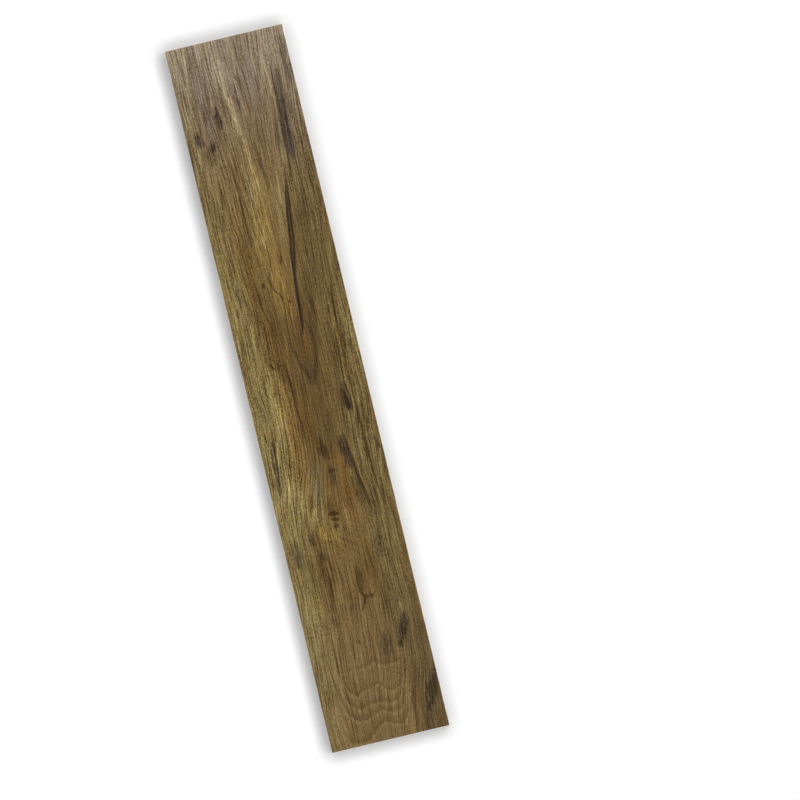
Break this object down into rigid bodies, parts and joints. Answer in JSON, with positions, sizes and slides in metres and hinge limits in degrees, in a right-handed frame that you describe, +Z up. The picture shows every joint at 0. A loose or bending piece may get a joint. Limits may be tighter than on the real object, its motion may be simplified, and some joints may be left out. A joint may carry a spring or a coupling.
{
  "type": "peel and stick vinyl plank",
  "caption": "Thin flat rectangular vinyl floor plank with square sides, a softly rounded upper edge and a wood-print face, stuck down edge to edge by its adhesive back.",
  "frame": {"origin": "middle of the adhesive back, on the floor", "axes": "+Y along the length and the grain, towards the head end (the upper end in the picture); +X across the face; +Z up, out of the printed face"},
  "size_m": [0.1524, 0.9144, 0.002],
  "materials": {
    "printed_vinyl": "embossed satin, rustic brown oak print"
  },
  "bodies": {
    "root": {"plank": "printed_vinyl"}
  },
  "joints": []
}
